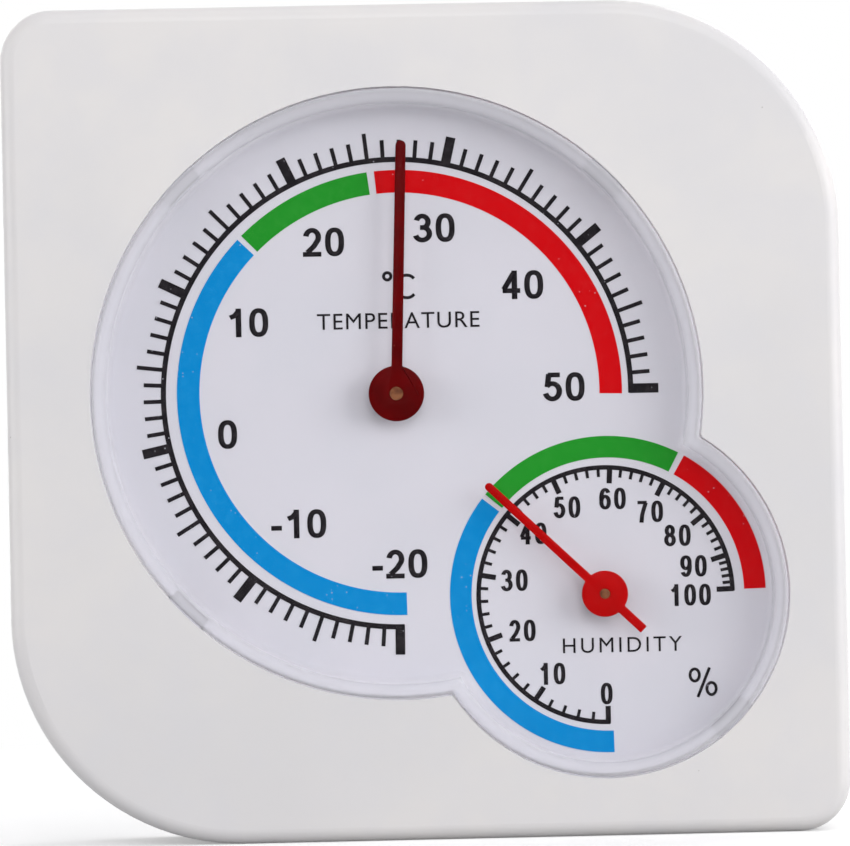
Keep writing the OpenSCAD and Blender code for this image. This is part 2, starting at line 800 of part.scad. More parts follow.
// Air slots behind a coil
module vents(axis) {
    for (i = [0 : vent_count - 1]) {
        at(axis + [0, (i - (vent_count - 1) / 2) * vent_pitch], -past) {
            round_slot(vent_l, vent_w, cover_t + 2 * past);
        }
    }
}

// The leg's pocket and finger bays, grown by a wall and drawn up to the given height
module pocket_space(grow, height) {
    translate([-pocket_w / 2 - grow, pocket_low_y - grow, 0]) {
        cube([pocket_w + 2 * grow, pocket_top_y - pocket_low_y + 2 * grow, height]);
    }
    for (side = [-1, 1]) {
        translate([side * pocket_w / 2, bay_y, 0]) cylinder(r = bay_r + grow, h = height);
    }
}

// Back panel with the keyhole, the air slots, the stand's pocket and the screw holes
module rear_cover() {
    head_gap = 0.2;
    color("white") difference() {
        union() {
            linear_extrude(cover_t) case_outline(rim_t + cover_gap);
            pocket_space(pocket_wall, pocket_d + pocket_wall);
        }
        translate([0, 0, -past]) pocket_space(0, pocket_d + past);
        for (place = column_places) {
            at(place, -past) cylinder(r = cover_screw_r + head_gap / 2, h = cover_t + 2 * past);
            at(place, -past) cylinder(r = cover_head_r + head_gap, h = cover_head_t + past);
        }
        at([0, keyhole_y], -past) {
            cylinder(r = keyhole_r, h = cover_t + 2 * past);
            translate([0, keyhole_rise, 0]) cylinder(r = keyhole_slot_r, h = cover_t + 2 * past);
            translate([-keyhole_slot_r, 0, 0]) cube([2 * keyhole_slot_r, keyhole_rise, cover_t + 2 * past]);
        }
        vents(t_axis);
        vents(h_axis);
        at([0, hinge_y], hinge_z) rotate([0, 90, 0]) {
            cylinder(r = pin_r, h = pocket_w + 4 * pocket_wall, center = true);
        }
    }
}

// Four screws whose heads sit just below the back face
module rear_cover_screws() {
    color("dimgray") for (place = column_places) {
        at(place, cover_head_t) slotted_screw(cover_screw_r, cover_t - cover_head_t + cover_screw_l,
                                              cover_head_r, cover_head_t);
    }
}

// Fold-out leg with its barrel and the heel that stops it
module stand_leg() {
    color("white") difference() {
        union() {
            translate([-leg_w / 2, hinge_y - leg_l, leg_back_z]) cube([leg_w, leg_l + heel_l, leg_t]);
            at([0, hinge_y], hinge_z) rotate([0, 90, 0]) cylinder(r = barrel_r, h = leg_w, center = true);
        }
        at([0, hinge_y], hinge_z) rotate([0, 90, 0]) {
            cylinder(r = pin_r + pin_gap, h = leg_w + 2 * past, center = true);
        }
    }
}

// Steel pin through the pocket's walls and the leg's barrel
module stand_hinge_pin() {
    color("silver") at([0, hinge_y], hinge_z) rotate([0, 90, 0]) {
        cylinder(r = pin_r, h = pocket_w + 2 * pocket_wall, center = true);
    }
}

stood_up() front_case();
stood_up() lens();
stood_up() dial_plate();
stood_up() thermometer_pointer();
stood_up() thermometer_pointer_boss();
stood_up() thermometer_arbor();
stood_up() thermometer_collet();
stood_up() thermometer_coil();
stood_up() thermometer_coil_post();
stood_up() thermometer_front_bush();
stood_up() thermometer_rear_bush();
stood_up() thermometer_bridge();
stood_up() thermometer_bridge_screws();
stood_up() hygrometer_pointer();
stood_up() hygrometer_pointer_boss();
stood_up() hygrometer_arbor();
stood_up() hygrometer_collet();
stood_up() hygrometer_coil();
stood_up() hygrometer_coil_post();
stood_up() hygrometer_front_bush();
stood_up() hygrometer_rear_bush();
stood_up() hygrometer_bridge();
stood_up() hygrometer_bridge_screws();
stood_up() rear_cover();
stood_up() rear_cover_screws();
stood_up() stand_leg();
stood_up() stand_hinge_pin();
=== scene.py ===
"""Looks of a flat square room gauge with two dials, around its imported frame.

Pieces are modelled in millimetres with the gauge lying on its back: x to the right of the dial,
y up the dial, z out of the dial from the back face. settle() stands each one up, in metres.
"""
import json
import math

import bpy
from mathutils import Matrix, Vector


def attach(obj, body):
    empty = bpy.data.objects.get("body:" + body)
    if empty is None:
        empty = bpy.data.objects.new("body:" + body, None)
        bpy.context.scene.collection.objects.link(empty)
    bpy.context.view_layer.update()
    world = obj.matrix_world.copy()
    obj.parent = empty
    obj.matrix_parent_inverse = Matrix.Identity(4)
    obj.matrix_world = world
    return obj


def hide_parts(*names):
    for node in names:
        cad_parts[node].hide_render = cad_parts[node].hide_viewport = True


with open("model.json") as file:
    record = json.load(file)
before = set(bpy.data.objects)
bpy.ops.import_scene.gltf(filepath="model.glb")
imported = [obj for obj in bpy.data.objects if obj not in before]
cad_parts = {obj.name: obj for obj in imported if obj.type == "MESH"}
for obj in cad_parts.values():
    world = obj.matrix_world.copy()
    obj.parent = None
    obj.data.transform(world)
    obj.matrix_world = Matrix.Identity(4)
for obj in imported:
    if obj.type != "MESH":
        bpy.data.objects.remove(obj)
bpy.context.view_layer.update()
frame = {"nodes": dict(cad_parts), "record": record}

MM = 0.001
BODY_W = 75.0
BODY_D = 15.3

# Heights above the back face (Z) and thicknesses (T)
DIAL_FLOOR_Z = 10.2
DIAL_FACE_Z = 10.5
POINTER_Z = 12.4
PRINT_T = 0.03
POINTER_T = 0.35

# The window's two discs, and how far inside their rim its cloudiness starts to fade and ends
WINDOW_T_R = 27.35
WINDOW_H_R = 16.35
MILK_START = 0.7
MILK_END = 2.1

# T_ is for the large thermometer dial and H_ for the small hygrometer dial: their two axes, and the
# middles of the black and the coloured print, which sit a little off them
T_AXIS = (-2.55, 2.55)
H_AXIS = (15.85, -15.85)
T_PRINT = (-2.40, 2.64)
H_PRINT = (16.05, -15.96)
T_BANDS = (-2.19, 2.69)
H_BANDS = (16.26, -15.91)

# From the gauge lying on its back in millimetres to the gauge standing in its place in metres
TIPPED_UP = Matrix.Rotation(math.pi / 2, 4, "X") @ Matrix.Scale(MM, 4)
STANDING = Matrix.Translation((0, BODY_D / 2 * MM, BODY_W / 2 * MM)) @ TIPPED_UP


# Shader expressions


class Wire:
    """The output of a shader node, for use in sums."""

    def __init__(self, finish, socket):
        self.finish = finish
        self.socket = socket

    def other(self, name):
        """Another output of the same node."""
        return Wire(self.finish, self.socket.node.outputs[name])

    def sum(self, operation, first, second):
        return self.finish.node("Math", {"operation": operation}, {0: first, 1: second})

    def __add__(self, other):
        return self.sum("ADD", self, other)

    def __radd__(self, other):
        return self.sum("ADD", other, self)

    def __sub__(self, other):
        return self.sum("SUBTRACT", self, other)

    def __rsub__(self, other):
        return self.sum("SUBTRACT", other, self)

    def __mul__(self, other):
        return self.sum("MULTIPLY", self, other)

    def __rmul__(self, other):
        return self.sum("MULTIPLY", other, self)


class Finish:
    """A material, or a world, whose nodes are added one by one."""

    def __init__(self, name, world=False):
        self.holder = bpy.data.worlds.new(name) if world else bpy.data.materials.new(name)
        self.holder.use_nodes = True
        self.tree = self.holder.node_tree
        self.tree.nodes.clear()
        kind = "World" if world else "Material"
        self.end = self.tree.nodes.new("ShaderNodeOutput" + kind)
        self.where = self.node("TexCoord", out="Generated" if world else "Object")

    def node(self, kind, settings=None, sockets=None, out=0):
        """Adds a shader node with its settings and inputs, and gives one of its outputs."""
        node = self.tree.nodes.new("ShaderNode" + kind)
        for name, value in (settings or {}).items():
            setattr(node, name, value)
        for name, value in (sockets or {}).items():
            self.plug(node.inputs[name], value)
        return Wire(self, node.outputs[out])

    def plug(self, socket, value):
        if isinstance(value, Wire):
            self.tree.links.new(value.socket, socket)
        else:
            socket.default_value = value

    def noise(self, size_mm, detail, rough=0.5, where=None):
        """Noise whose lumps are about size_mm across."""
        sockets = {"Vector": where or self.where, "Scale": 1 / (size_mm * MM)}
        sockets.update({"Detail": detail, "Roughness": rough})
        return self.node("TexNoise", sockets=sockets)

    def step(self, value, low, high):
        """0 below low and 1 above high, with a soft change between them."""
        settings = {"interpolation_type": "SMOOTHSTEP"}
        return self.node("MapRange", settings, {"Value": value, "From Min": low, "From Max": high})

    def mix(self, share, first, second):
        """A colour between two colours."""
        settings = {"data_type": "RGBA"}
        return self.node("Mix", settings, {"Factor": share, 6: first, 7: second}, out=2)

    def bump(self, height, strength, depth_mm, normal=None):
        sockets = {"Height": height, "Strength": strength, "Distance": depth_mm * MM}
        if normal is not None:
            sockets["Normal"] = normal
        return self.node("Bump", sockets=sockets)

    def specks(self, size_mm, spot, share, seed):
        """Spots in about the given share of cells of size_mm; spot is their radius in cells."""
        moved = (seed, seed * 0.7, seed * 0.3)
        place = self.node("Mapping", sockets={"Vector": self.where, "Location": moved})
        spread = {"Vector": place, "Scale": 1 / (size_mm * MM)}
        cells = self.node("TexVoronoi", sockets=spread, out="Distance")
        near = 1 - self.step(cells, spot * 0.6, spot * 1.2)
        pick = self.node("SeparateColor", sockets={0: cells.other("Color")})
        return near * self.step(pick, 1 - share, 1 - share + 0.01)

    def surface(self, **sockets):
        """A Principled shader; names are its sockets with _ for a space."""
        values = {name.replace("_", " "): value for name, value in sockets.items()}
        return self.node("BsdfPrincipled", sockets=values)

    def done(self, shader):
        self.plug(self.end.inputs["Surface"], shader)
        return self.holder


def srgb(red, green, blue):
    """A colour written as 8-bit screen values, in the linear values that shaders take."""
    parts = [v / 255 for v in (red, green, blue)]
    linear = [p / 12.92 if p <= 0.04045 else ((p + 0.055) / 1.055) ** 2.4 for p in parts]
    return tuple(linear + [1.0])


# Finishes


def case_plastic():
    """Glossy white moulded plastic with faint flow marks, fine grain and specks of dust."""
    f = Finish("white_moulded_plastic")
    flow = f.noise(22, 3)
    cloud = f.noise(5, 2)
    grain = f.noise(0.35, 3, 0.6)
    dust = f.specks(3.4, 0.022, 0.3, 0.02)
    tone = f.mix(f.step(flow, 0.35, 0.65), srgb(222, 220, 221), srgb(228, 225, 224))
    tone = f.mix(f.step(cloud, 0.3, 0.7) * 0.35, tone, srgb(219, 218, 222))
    tone = f.mix(dust * 0.5, tone, srgb(150, 146, 142))
    rough = 0.3 + f.step(cloud, 0.3, 0.7) * 0.08 + grain * 0.06
    skin = f.bump(grain, 0.12, 0.02)
    skin = f.bump(flow, 0.15, 0.05, skin)
    return f.done(f.surface(Base_Color=tone, Roughness=rough, Normal=skin, IOR=1.5))


def rim_nearness(f):
    """1 at the window's rim and 0 some way inside it, softly between."""
    flat = f.node("VectorMath", {"operation": "MULTIPLY"}, {0: f.where, 1: (1, 0, 1)})
    past = []
    for axis, radius in ((T_AXIS, WINDOW_T_R), (H_AXIS, WINDOW_H_R)):
        middle = (axis[0] * MM, 0, (BODY_W / 2 + axis[1]) * MM)
        away = f.node("VectorMath", {"operation": "DISTANCE"}, {0: flat, 1: middle}, out="Value")
        past.append(away - radius * MM)
    nearest = f.node("Math", {"operation": "MINIMUM"}, {0: past[0], 1: past[1]})
    return f.step(nearest, -MILK_END * MM, -MILK_START * MM)


def window_plastic(name, milk, shine, fades=False):
    """Clear moulded plastic that lets the lamps through.

    milk is its cloudy share, which with fades is only near the rim, and shine is its gloss.
    """
    f = Finish(name)
    haze = f.noise(14, 2)
    scratch = f.node("Mapping", sockets={"Vector": f.where, "Scale": (1.0, 1.0, 14.0)})
    lines = f.step(f.noise(3.0, 4, 0.6, scratch), 0.62, 0.75)
    rough = 0.05 + lines * 0.05 + haze * 0.02
    gloss = f.node("BsdfGlossy", sockets={"Color": (1, 1, 1, 1), "Roughness": rough})
    clear = f.node("BsdfTransparent", sockets={"Color": (0.99, 0.99, 0.995, 1)})
    edge = f.node("Fresnel", sockets={"IOR": 1.16})
    shown = f.node("MixShader", sockets={0: edge * shine, 1: clear, 2: gloss})
    if milk:
        cloud = f.node("BsdfDiffuse", sockets={"Color": srgb(232, 231, 238)})
        share = milk * (0.8 + haze * 0.4)
        if fades:
            share = share * rim_nearness(f)
        shown = f.node("MixShader", sockets={0: share, 1: shown, 2: cloud})
    lamp = f.node("LightPath", out="Is Shadow Ray")
    return f.done(f.node("MixShader", sockets={0: lamp, 1: shown, 2: clear}))


def dial_lacquer():
    """White lacquer on thin sheet, cool in tone, with fine mottling and a few specks of dust."""
    f = Finish("white_dial_lacquer")
    cloud = f.noise(9, 2)
    grain = f.noise(0.5, 3, 0.6)
    dust = f.specks(4.6, 0.02, 0.35, 0.03)
    tone = f.mix(f.step(cloud, 0.35, 0.65), srgb(223, 222, 229), srgb(226, 224, 231))
    tone = f.mix(dust * 0.6, tone, srgb(120, 116, 120))
    rough = 0.42 + grain * 0.08
    skin = f.bump(grain, 0.1, 0.01)
    return f.done(f.surface(Base_Color=tone, Roughness=rough, Normal=skin, IOR=1.45))


def print_ink(name, colour, worn, pinholes):
    """Screen-printed ink with mottling and small pale pinholes."""
    f = Finish(name)
    mottle = f.noise(0.8, 4, 0.65)
    holes = f.specks(0.45, 0.16, pinholes, 0.05)
    patch = f.step(f.noise(4, 2), 0.5, 0.62)
    tone = f.mix(f.step(mottle, 0.4, 0.75) * 0.6, colour, worn)
    tone = f.mix(holes * patch * 0.7, tone, srgb(190, 190, 198))
    rough = 0.5 + mottle * 0.1
    skin = f.bump(mottle, 0.2, 0.01)
    return f.done(f.surface(Base_Color=tone, Roughness=rough, Normal=skin, Specular_IOR_Level=0.04))


def pointer_paint(name, colour, dark):
    """Glossy lacquer on a stamped pointer, with grains of dust in it."""
    f = Finish(name)
    cloud = f.noise(2.5, 3)
    grain = f.noise(0.25, 3, 0.6)
    dust = f.specks(1.1, 0.06, 0.3, 0.04)
    tone = f.mix(f.step(cloud, 0.35, 0.7), colour, dark)
    tone = f.mix(dust * 0.5, tone, srgb(214, 120, 104))
    rough = 0.26 + grain * 0.1
    skin = f.bump(grain, 0.25, 0.02)
    return f.done(f.surface(Base_Color=tone, Roughness=rough, Normal=skin, Specular_IOR_Level=0.03))


def turned_brass():
    """Brass with the fine lines of the lathe and dull patches."""
    f = Finish("turned_brass")
    lines = f.noise(0.12, 2)
    dull = f.noise(0.8, 3, 0.6)
    tone = f.mix(f.step(dull, 0.4, 0.65), srgb(130, 84, 58), srgb(96, 58, 42))
    rough = 0.36 + f.step(dull, 0.35, 0.7) * 0.2 + lines * 0.08
    skin = f.bump(lines, 0.3, 0.02)
    return f.done(f.surface(Base_Color=tone, Metallic=1.0, Roughness=rough, Normal=skin))


def drawn_steel(name, bright, dark, rough_low, scale):
    """Steel with duller patches and fine lines, drawn out along the axis whose scale is small."""
    f = Finish(name)
    run = f.node("Mapping", sockets={"Vector": f.where, "Scale": scale})
    lines = f.noise(0.2, 3, 0.7, run)
    dull = f.noise(2.2, 3, 0.6)
    tone = f.mix(f.step(dull, 0.4, 0.65), bright, dark)
    tone = f.mix(lines * 0.3, tone, dark)
    rough = rough_low + f.step(dull, 0.35, 0.7) * 0.14 + lines * 0.14
    skin = f.bump(lines, 0.3, 0.02)
    return f.done(f.surface(Base_Color=tone, Metallic=1.0, Roughness=rough, Normal=skin))


def moisture_coat():
    """Thin strip with a matt tan coat that takes up moisture."""
    f = Finish("moisture_taking_coat")
    cloud = f.noise(1.6, 4, 0.6)
    fibre = f.noise(0.12, 4, 0.7)
    tone = f.mix(f.step(cloud, 0.35, 0.7), srgb(176, 141, 98), srgb(142, 108, 70))
    tone = f.mix(fibre * 0.3, tone, srgb(206, 178, 138))
    rough = 0.6 + fibre * 0.2
    skin = f.bump(fibre, 0.5, 0.03)
    return f.done(f.surface(Base_Color=tone, Roughness=rough, Normal=skin))


white_plastic = case_plastic()
clear_plastic = window_plastic("clear_window_plastic", milk=0, shine=0.32)
rim_plastic = window_plastic("clear_rim_plastic", milk=0.5, shine=0.3, fades=True)
skirt_plastic = window_plastic("clear_skirt_plastic", milk=0.08, shine=0.15)
lacquer = dial_lacquer()
black_ink = print_ink("black_print", srgb(34, 31, 35), srgb(62, 57, 60), pinholes=0.25)
blue_ink = print_ink("blue_print", srgb(8, 144, 216), srgb(34, 156, 222), pinholes=0.3)
green_ink = print_ink("green_print", srgb(38, 154, 44), srgb(52, 162, 54), pinholes=0.05)
red_ink = print_ink("red_print", srgb(221, 6, 16), srgb(224, 28, 32), pinholes=0.25)
dark_red = pointer_paint("dark_red_lacquer", srgb(102, 2, 4), srgb(86, 2, 3))
bright_red = pointer_paint("bright_red_lacquer", srgb(194, 6, 8), srgb(180, 5, 6))
brass = turned_brass()
plated_steel = drawn_steel("plated_steel", srgb(208, 208, 212), srgb(150, 150, 156),
                           rough_low=0.2, scale=(1.0, 1.0, 0.08))
screw_steel = drawn_steel("screw_steel", srgb(150, 150, 154), srgb(92, 92, 98),
                          rough_low=0.28, scale=(1.0, 1.0, 1.0))
bimetal = drawn_steel("bimetal_strip", srgb(188, 184, 178), srgb(132, 126, 120),
                      rough_low=0.26, scale=(1.0, 0.06, 1.0))
coated = moisture_coat()

finish_of_slot = {
    "case_plastic": white_plastic,
    "clear_plastic": clear_plastic,
    "printed_dial": lacquer,
    "dark_red_paint": dark_red,
    "bright_red_paint": bright_red,
    "brass": brass,
    "bimetal_strip": bimetal,
    "coated_strip": coated,
    "plated_steel": plated_steel,
    "screw_steel": screw_steel,
}
for part in frame["record"]["subparts"]:
    node = frame["nodes"][part["node"]]
    node.data.materials.clear()
    node.data.materials.append(finish_of_slot[part["material_slot"]])


# Modelling

SMOOTH_DEG = 35
ARC_STEP_DEG = 2


def only(piece):
    """Selects one object and nothing else."""
    bpy.ops.object.select_all(action="DESELECT")
    piece.select_set(True)
    bpy.context.view_layer.objects.active = piece


def started(name):
    """The primitive that was just added, named."""
    piece = bpy.context.object
    piece.name = name
    piece.data.name = name
    return piece


def joined(name, pieces):
    """Several pieces as one."""
    only(pieces[0])
    for piece in pieces[1:]:
        piece.select_set(True)
    if len(pieces) > 1:
        bpy.ops.object.join()
    return started(name)


def apply(piece, kind, **settings):
    """Adds a modifier with its settings and applies it."""
    only(piece)
    modifier = piece.modifiers.new(kind.lower(), kind)
    for name, value in settings.items():
        setattr(modifier, name, value)
    bpy.ops.object.modifier_apply(modifier=modifier.name)


def pick_faces(piece, wanted):
    """Selects in edit mode the faces for which wanted(middle, normal) holds."""
    bpy.ops.object.mode_set(mode="OBJECT")
    for polygon in piece.data.polygons:
        polygon.select = wanted(polygon.center, polygon.normal)
    for edge in piece.data.edges:
        edge.select = False
    for vertex in piece.data.vertices:
        vertex.select = False
    for polygon in piece.data.polygons:
        if polygon.select:
            for index in polygon.vertices:
                piece.data.vertices[index].select = True
    bpy.ops.object.mode_set(mode="EDIT")
    bpy.ops.mesh.select_mode(type="FACE")


def settle(piece, body, finish, smooth_deg=None):
    """Stands a piece up in its place in metres, finishes it and lets it ride on a body."""
    only(piece)
    bpy.ops.object.transform_apply(location=True, rotation=True, scale=True)
    piece.matrix_world = STANDING
    bpy.ops.object.transform_apply(location=True, rotation=True, scale=True)
    piece.data.materials.clear()
    piece.data.materials.append(finish)
    if smooth_deg:
        bpy.ops.object.shade_smooth_by_angle(angle=math.radians(smooth_deg))
    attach(piece, body)


def polar(middle, radius, angle_deg):
    """A point at a radius and angle from a middle, counterclockwise from the right."""
    angle = math.radians(angle_deg)
    return middle[0] + radius * math.cos(angle), middle[1] + radius * math.sin(angle)


def arc_strip(name, middle, inner, outer, start_deg, end_deg, low, high):
    """A flat curved strip: an upright face, spun round the middle."""
    x, y = polar(middle, (inner + outer) / 2, start_deg)
    turn = Matrix.Rotation(math.radians(start_deg), 4, "Z") @ Matrix.Rotation(math.pi / 2, 4, "X")
    place = (x, y, (low + high) / 2)
    bpy.ops.mesh.primitive_plane_add(size=1, location=place, rotation=turn.to_euler())
    strip = started(name)
    strip.scale = (outer - inner, high - low, 1)
    bpy.ops.object.transform_apply(location=True, rotation=True, scale=True)
    sweep = end_deg - start_deg
    bpy.ops.object.mode_set(mode="EDIT")
    bpy.ops.mesh.select_all(action="SELECT")
    steps = max(8, int(abs(sweep) / ARC_STEP_DEG))
    centre = (middle[0], middle[1], 0)
    bpy.ops.mesh.duplicate()
    bpy.ops.mesh.spin(steps=steps, angle=math.radians(-sweep), center=centre, axis=(0, 0, 1))
    bpy.ops.mesh.select_all(action="SELECT")
    bpy.ops.mesh.remove_doubles(threshold=0.0001)
    bpy.ops.mesh.normals_make_consistent(inside=False)
    bpy.ops.object.mode_set(mode="OBJECT")
    return strip


def bar(name, middle, angle_deg, inner, outer, width, low, high):
    """A flat radial bar between two radii."""
    x, y = polar(middle, (inner + outer) / 2, angle_deg)
    place = (x, y, (low + high) / 2)
    turn = (0, 0, math.radians(angle_deg))
    bpy.ops.mesh.primitive_cube_add(size=1, location=place, rotation=turn)
    piece = started(name)
    piece.scale = (outer - inner, width, high - low)
    bpy.ops.object.transform_apply(location=True, rotation=True, scale=True)
    return piece


# The dials' print

T_LOW = -20
T_HIGH = 50
T_START_DEG = 269.5
T_STEP_DEG = 3.85
T_LINE = (20.88, 21.35)
T_LINE_PAST_DEG = 1.1
T_SHORT_R = 22.9
T_LONG_R = 23.62
T_THIN_W = 0.36
T_THICK_W = 0.86
T_BAND = (18.07, 20.11)
T_BAND_ENDS = {"cold": (270.8, 135.6), "mild": (134.2, 97.4), "warm": (95.5, -1.4)}

# The small dial's tens of percent differ in width
H_START_DEG = 270.0
H_DECADES_DEG = (35, 35, 30, 30, 26.5, 26.5, 25.5, 23.5, 21, 15.5)
H_LINE = (11.29, 11.7)
H_LINE_PAST_DEG = 0.9
H_SHORT_R = 10.64
H_LONG_R = 10.06
H_THIN_W = 0.28
H_THICK_W = 0.47
H_BAND = (12.34, 14.29)
H_BAND_ENDS = {"dry": (271.2, 141.7), "middling": (139.8, 62.4), "damp": (60.0, 1.0)}

# The marks run into the curved line. They, and each later stroke of a figure, are a little higher
# than what they cross, so that no two faces lie in one place
MARK_OVERLAP = 0.1
LAYER_T = 0.004
PRINT_SINK = 0.01
PRINT_LOW = DIAL_FACE_Z - PRINT_SINK
PRINT_TOP = DIAL_FACE_Z + PRINT_T
PRINT_MIDDLE = (PRINT_LOW + PRINT_TOP) / 2
MARK_TOP = PRINT_TOP + LAYER_T


def t_angle(degrees):
    """The angle of a temperature on the dial."""
    return T_START_DEG - (degrees - T_LOW) * T_STEP_DEG


def h_angle(percent):
    """The angle of a humidity on the dial, whose tens close up towards the damp end."""
    whole = min(int(percent // 10), 9)
    return H_START_DEG - sum(H_DECADES_DEG[:whole]) - (percent / 10 - whole) * H_DECADES_DEG[whole]


def thermometer_scale():
    """The curved line with a mark at each degree."""
    ends = (t_angle(T_LOW) + T_LINE_PAST_DEG, t_angle(T_HIGH) - T_LINE_PAST_DEG)
    pieces = [arc_strip("line", T_PRINT, *T_LINE, *ends, PRINT_LOW, PRINT_TOP)]
    for degree in range(T_LOW, T_HIGH + 1):
        thick = degree % 10 == 0
        reach = T_LONG_R if degree % 5 == 0 else T_SHORT_R
        width = T_THICK_W if thick else T_THIN_W
        angle = t_angle(degree)
        inner = T_LINE[0] + MARK_OVERLAP
        pieces.append(bar("mark", T_PRINT, angle, inner, reach, width, PRINT_LOW, MARK_TOP))
    settle(joined("thermometer_scale", pieces), "case", black_ink)


def hygrometer_scale():
    """The curved line with a mark at each two percent, inside it."""
    ends = (h_angle(0) + H_LINE_PAST_DEG, h_angle(100) - H_LINE_PAST_DEG)
    pieces = [arc_strip("line", H_PRINT, *H_LINE, *ends, PRINT_LOW, PRINT_TOP)]
    for percent in range(0, 101, 2):
        thick = percent % 10 == 0
        reach = H_LONG_R if thick else H_SHORT_R
        width = H_THICK_W if thick else H_THIN_W
        angle = h_angle(percent)
        outer = H_LINE[1] - MARK_OVERLAP
        pieces.append(bar("mark", H_PRINT, angle, reach, outer, width, PRINT_LOW, MARK_TOP))
    settle(joined("hygrometer_scale", pieces), "case", black_ink)


def bands(dial, middle, radii, ends, inks):
    """The three coloured bands of a dial."""
    for (name, (start, end)), ink in zip(ends.items(), inks):
        strip = arc_strip(f"{dial}_band_{name}", middle, *radii, start, end, PRINT_LOW, PRINT_TOP)
        settle(strip, "case", ink)


thermometer_scale()
hygrometer_scale()
bands("thermometer", T_BANDS, T_BAND, T_BAND_ENDS, (blue_ink, green_ink, red_ink))
bands("hygrometer", H_BANDS, H_BAND, H_BAND_ENDS, (blue_ink, green_ink, red_ink))


# Figures, drawn as strokes of one width on a height of 1, captions and signs

STROKE_END = 0.095
OVAL_STEP_DEG = 12
MINUS_SHARE = 0.6


def oval(x, y, half_w, half_h, start_deg=0, end_deg=360, power=2.0):
    """Points along an oval arc; a power over 2 makes it squarer."""
    points = []
    count = max(6, int(abs(end_deg - start_deg) / OVAL_STEP_DEG))
    for i in range(count + (abs(end_deg - start_deg) < 360)):
        angle = math.radians(start_deg + (end_deg - start_deg) * i / count)
        across = math.copysign(abs(math.cos(angle)) ** (2 / power), math.cos(angle))
        up = math.copysign(abs(math.sin(angle)) ** (2 / power), math.sin(angle))
        points.append((x + half_w * across, y + half_h * up))
    return points


FIGURES = {
    "0": [oval(0.5, 0.5, 0.5, 0.5, power=2.5)],
    "1": [[(0.66, -STROKE_END), (0.66, 1 + STROKE_END)],
          [(0.62, 0.95), (0.36, 0.79), (0.04, 0.72)]],
    "2": [oval(0.5, 0.71, 0.46, 0.29, 172, -28) + [(0.62, 0.33), (0.14, 0.08)],
          [(-0.2, 0), (1.16, 0)]],
    "3": [oval(0.46, 0.755, 0.43, 0.245, 165, -85), oval(0.46, 0.265, 0.52, 0.265, 90, -165),
          [(0.3, 0.52), (0.56, 0.52)]],
    "4": [[(0.72, -STROKE_END), (0.72, 1 + STROKE_END)], [(-0.16, 0.26), (1.14, 0.26)],
          [(0.66, 0.98), (-0.06, 0.32)]],
    "5": [[(0.16, 1), (1.04, 1)], [(0.22, 1.04), (0.1, 0.5)],
          oval(0.46, 0.32, 0.52, 0.32, 142, -165)],
    "6": [oval(0.5, 0.315, 0.49, 0.315, power=2.2),
          oval(0.53, 0.5, 0.52, 0.5, 188, 38, power=2.2)],
    "7": [[(-0.12, 1), (1.1, 1)], [(0.98, 0.98), (0.68, 0.62), (0.46, 0.3), (0.36, -STROKE_END)]],
    "8": [oval(0.5, 0.765, 0.41, 0.235), oval(0.5, 0.26, 0.5, 0.26)],
    "9": [oval(0.5, 0.685, 0.49, 0.315, power=2.2),
          oval(0.47, 0.5, 0.52, 0.5, 8, -142, power=2.2)],
    "-": [[(-0.22, 0.34), (0.56, 0.34)]],
}
CLOSED = {"0": (0,), "6": (0,), "8": (0, 1), "9": (0,)}


def strokes(name, paths, closed, width):
    """Flat strokes: each path swept by one rectangle."""
    section = bpy.data.curves.new("section", "CURVE")
    rectangle = section.splines.new("POLY")
    rectangle.points.add(3)
    corners = ((-1, -1), (1, -1), (1, 1), (-1, 1))
    for point, (across, up) in zip(rectangle.points, corners):
        point.co = (across * width / 2, up * (PRINT_TOP - PRINT_LOW) / 2, 0, 1)
    rectangle.use_cyclic_u = True
    section_piece = bpy.data.objects.new("section", section)
    bpy.context.scene.collection.objects.link(section_piece)
    line = bpy.data.curves.new(name, "CURVE")
    line.dimensions = "3D"
    line.twist_mode = "Z_UP"
    line.bevel_mode = "OBJECT"
    line.bevel_object = section_piece
    line.use_fill_caps = True
    for index, path in enumerate(paths):
        spline = line.splines.new("POLY")
        spline.points.add(len(path) - 1)
        for point, (x, y) in zip(spline.points, path):
            point.co = (x, y, index * LAYER_T, 1)
        spline.use_cyclic_u = index in closed
    piece = bpy.data.objects.new(name, line)
    bpy.context.scene.collection.objects.link(piece)
    only(piece)
    bpy.ops.object.convert(target="MESH")
    bpy.data.objects.remove(section_piece)
    bpy.ops.object.mode_set(mode="EDIT")
    bpy.ops.mesh.select_all(action="SELECT")
    bpy.ops.mesh.remove_doubles(threshold=0.00001)
    bpy.ops.mesh.normals_make_consistent(inside=False)
    bpy.ops.object.mode_set(mode="OBJECT")
    return bpy.context.object


def figure(letter, box_w, width, stretch, height):
    """One figure in millimetres, from its cell's left edge and base line."""
    paths = [[(x * box_w, width / 2 + y * (1 - width)) for x, y in path]
             for path in FIGURES[letter]]
    piece = strokes(letter, paths, CLOSED.get(letter, ()), width)
    piece.scale = (height * stretch, height, 1)
    only(piece)
    bpy.ops.object.transform_apply(location=True, rotation=True, scale=True)
    return piece


def copied(piece, name):
    """A copy with its own mesh."""
    twin = piece.copy()
    twin.data = piece.data.copy()
    twin.name = name
    bpy.context.scene.collection.objects.link(twin)
    return twin


